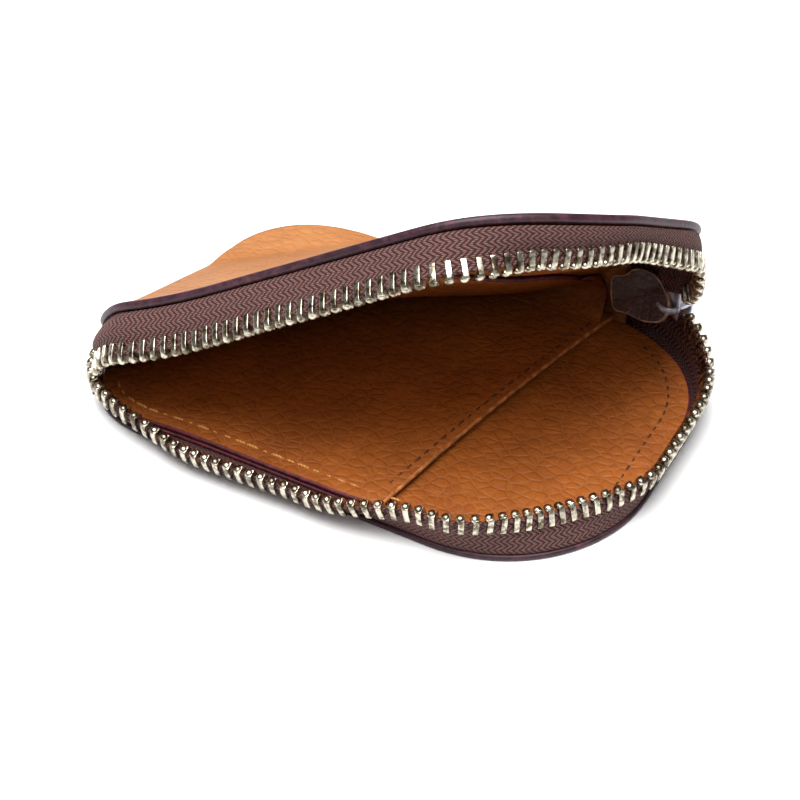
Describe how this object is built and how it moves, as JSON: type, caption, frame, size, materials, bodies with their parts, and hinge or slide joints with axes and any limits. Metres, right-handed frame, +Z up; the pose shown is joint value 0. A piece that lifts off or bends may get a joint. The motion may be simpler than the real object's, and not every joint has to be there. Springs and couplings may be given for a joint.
{
  "type": "zippered pouch",
  "caption": "Small leather pouch that zips around its edge, lying on one leaf with the mouth held open at a corner, with card pockets inside and a leather pull tab.",
  "frame": {"origin": "centre of the lower leaf's underside, on the surface that the pouch lies on", "axes": "+X along the long side, from the closed left side to the side where the zip ends; +Y towards the closed back side, so the front edge is at -Y; +Z up"},
  "size_m": [0.1229, 0.0887, 0.0666],
  "materials": {
    "outer_leather": "pebbled grain, semi-matt, with painted dark edges",
    "lining_leather": "pebbled grain, matt",
    "zip_tape": "twill weave, matt",
    "zip_metal": "polished nickel silver",
    "pull_leather": "pebbled grain, matt",
    "pale_thread": "waxed thread",
    "dark_thread": "waxed thread"
  },
  "bodies": {
    "lower_leaf": {"outer_panel_lower": "outer_leather", "lining_lower": "lining_leather", "pocket_leaf_lower": "lining_leather", "wall_band": "outer_leather", "zip_tape_lower": "zip_tape", "teeth_lower": "zip_metal", "top_stop_lower": "zip_metal", "bottom_stop": "zip_metal", "thread_front_seam": "pale_thread", "thread_pocket_mouth": "dark_thread", "thread_lining_corner": "dark_thread", "zip_tape_upper_end": "zip_tape", "teeth_upper_end": "zip_metal"},
    "upper_leaf": {"outer_panel_upper": "outer_leather", "lining_upper": "lining_leather", "pocket_leaf_upper": "lining_leather", "zip_tape_upper": "zip_tape", "teeth_upper": "zip_metal", "zip_tape_upper_corner": "zip_tape", "teeth_upper_corner": "zip_metal", "top_stop_upper": "zip_metal"},
    "slider": {"slider_body": "zip_metal", "slider_bridge": "zip_metal"},
    "puller": {"puller_tab": "pull_leather"}
  },
  "joints": [
    {"name": "mouth", "type": "hinge", "parent": "lower_leaf", "child": "upper_leaf", "pos_m": [-0.05633, -0.03047, 0.0194], "axis": [-0.7314, -0.682, 0], "range_deg": [-24, 0], "deforming": ["wall_band", "zip_tape_upper_corner", "teeth_upper_corner", "zip_tape_upper_end", "teeth_upper_end"]},
    {"name": "slider_travel", "type": "slide", "parent": "lower_leaf", "child": "slider", "axis": [-0.8742, 0.4855, 0], "range_m": [0, 0.0035]},
    {"name": "puller_swing", "type": "hinge", "parent": "slider", "child": "puller", "pos_m": [0.04207, 0.03128, 0.0128], "axis": [0, 0, 1], "range_deg": [-4, 70]}
  ]
}
